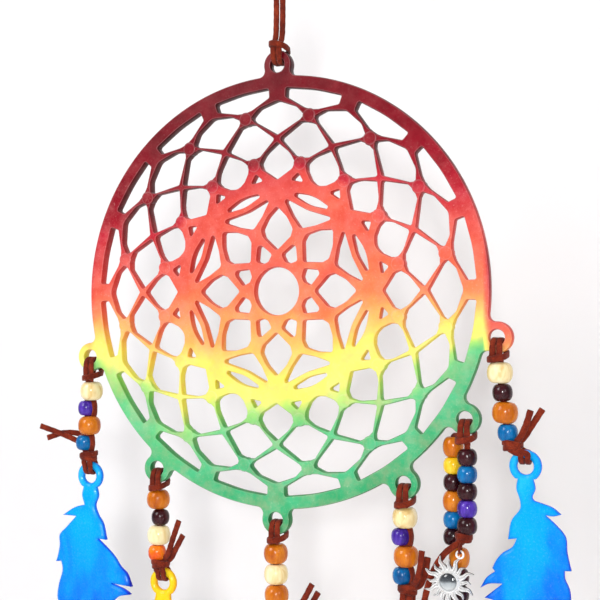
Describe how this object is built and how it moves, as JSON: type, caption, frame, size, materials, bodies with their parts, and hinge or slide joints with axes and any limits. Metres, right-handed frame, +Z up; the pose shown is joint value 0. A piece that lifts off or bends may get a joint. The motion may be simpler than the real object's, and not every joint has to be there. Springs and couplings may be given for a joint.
{
  "type": "dream catcher",
  "caption": "Round resin mandala that hangs on a suede cord, with laces of wooden beads, resin feathers and a sun charm swinging from ears on its rim.",
  "frame": {"origin": "inner top of the hanging loop, where a hook carries it", "axes": "+Z up, -Y out of the front face of the disc, +X to the right as seen from the front"},
  "size_m": [0.2322, 0.0155, 0.3905],
  "materials": {
    "resin_disc": "translucent cast resin, blended from crimson at the top through orange and yellow to green below",
    "suede": "matt brushed suede",
    "silver": "cast silver, dark in its grooves",
    "clear_stone": "polished clear stone",
    "resin_feather_blue": "translucent cast resin, azure",
    "resin_feather_yellow": "translucent cast resin, yellow",
    "resin_feather_coral": "translucent cast resin, coral",
    "bead_orange": "orange-brown varnished wood",
    "bead_cream": "cream varnished wood",
    "bead_purple": "purple varnished wood",
    "bead_blue": "blue varnished wood",
    "bead_dark": "dark maroon varnished wood",
    "bead_yellow": "yellow varnished wood",
    "bead_red": "orange-red varnished wood"
  },
  "bodies": {
    "disc": {"mandala_disc": "resin_disc", "hanging_cord": "suede"},
    "strand_1": {"bead_1_1": "bead_cream", "bead_1_2": "bead_purple", "bead_1_3": "bead_orange", "bead_1_4": "bead_blue", "lace_1": "suede"},
    "strand_2": {"bead_2_1": "bead_orange", "bead_2_2": "bead_dark", "bead_2_3": "bead_cream", "bead_2_4": "bead_red", "lace_2": "suede"},
    "strand_3": {"bead_3_1": "bead_orange", "bead_3_2": "bead_cream", "bead_3_3": "bead_orange", "bead_3_4": "bead_dark", "lace_3": "suede"},
    "strand_4": {"bead_4_1": "bead_cream", "bead_4_2": "bead_purple", "bead_4_3": "bead_orange", "bead_4_4": "bead_blue", "lace_4": "suede"},
    "strand_5": {"bead_5_left_1": "bead_orange", "bead_5_left_2": "bead_yellow", "bead_5_left_3": "bead_dark", "bead_5_left_4": "bead_orange", "bead_5_left_5": "bead_blue", "bead_5_left_6": "bead_dark", "bead_5_lower_1": "bead_orange", "bead_5_lower_2": "bead_dark", "bead_5_lower_3": "bead_dark", "bead_5_right_1": "bead_dark", "bead_5_right_2": "bead_blue", "bead_5_right_3": "bead_dark", "bead_5_right_4": "bead_purple", "bead_5_right_5": "bead_dark", "lace_5": "suede", "lace_5_left": "suede", "lace_5_tail": "suede"},
    "strand_6": {"bead_6_1": "bead_cream", "bead_6_2": "bead_dark", "bead_6_3": "bead_orange", "bead_6_4": "bead_blue", "lace_6": "suede"},
    "pendant_1": {"feather_1": "resin_feather_blue"},
    "pendant_2": {"feather_2": "resin_feather_yellow"},
    "pendant_3": {"feather_3": "resin_feather_coral"},
    "pendant_4": {"feather_4": "resin_feather_yellow"},
    "pendant_6": {"feather_6": "resin_feather_blue"},
    "sun": {"sun_charm": "silver", "charm_stone": "clear_stone"}
  },
  "joints": [
    {"name": "strand_1_swing", "type": "hinge", "parent": "disc", "child": "strand_1", "pos_m": [-0.08984, 0, -0.18495], "axis": [1, 0, 0], "range_deg": [-75, 75]},
    {"name": "strand_2_swing", "type": "hinge", "parent": "disc", "child": "strand_2", "pos_m": [-0.0559, 0, -0.23245], "axis": [1, 0, 0], "range_deg": [-75, 75]},
    {"name": "strand_3_swing", "type": "hinge", "parent": "disc", "child": "strand_3", "pos_m": [0, 0, -0.25083], "axis": [1, 0, 0], "range_deg": [-75, 75]},
    {"name": "strand_4_swing", "type": "hinge", "parent": "disc", "child": "strand_4", "pos_m": [0.05497, 0, -0.23312], "axis": [1, 0, 0], "range_deg": [-75, 75]},
    {"name": "strand_5_swing", "type": "hinge", "parent": "disc", "child": "strand_5", "pos_m": [0.07971, 0, -0.20682], "axis": [1, 0, 0], "range_deg": [-75, 75]},
    {"name": "strand_6_swing", "type": "hinge", "parent": "disc", "child": "strand_6", "pos_m": [0.09237, 0, -0.17508], "axis": [1, 0, 0], "range_deg": [-75, 75]},
    {"name": "feather_1_swing", "type": "hinge", "parent": "strand_1", "child": "pendant_1", "pos_m": [-0.0906, 0, -0.2283], "axis": [1, 0, 0], "range_deg": [-45, 45]},
    {"name": "feather_2_swing", "type": "hinge", "parent": "strand_2", "child": "pendant_2", "pos_m": [-0.0536, 0, -0.272], "axis": [1, 0, 0], "range_deg": [-45, 45]},
    {"name": "feather_3_swing", "type": "hinge", "parent": "strand_3", "child": "pendant_3", "pos_m": [0, 0, -0.2973], "axis": [1, 0, 0], "range_deg": [-45, 45]},
    {"name": "feather_4_swing", "type": "hinge", "parent": "strand_4", "child": "pendant_4", "pos_m": [0.0556, 0, -0.2838], "axis": [1, 0, 0], "range_deg": [-45, 45]},
    {"name": "feather_6_swing", "type": "hinge", "parent": "strand_6", "child": "pendant_6", "pos_m": [0.1029, 0, -0.2147], "axis": [1, 0, 0], "range_deg": [-45, 45]},
    {"name": "sun_charm_swing", "type": "hinge", "parent": "strand_5", "child": "sun", "pos_m": [0.07904, -0.00645, -0.25228], "axis": [1, 0, 0], "range_deg": [-80, 2]}
  ]
}
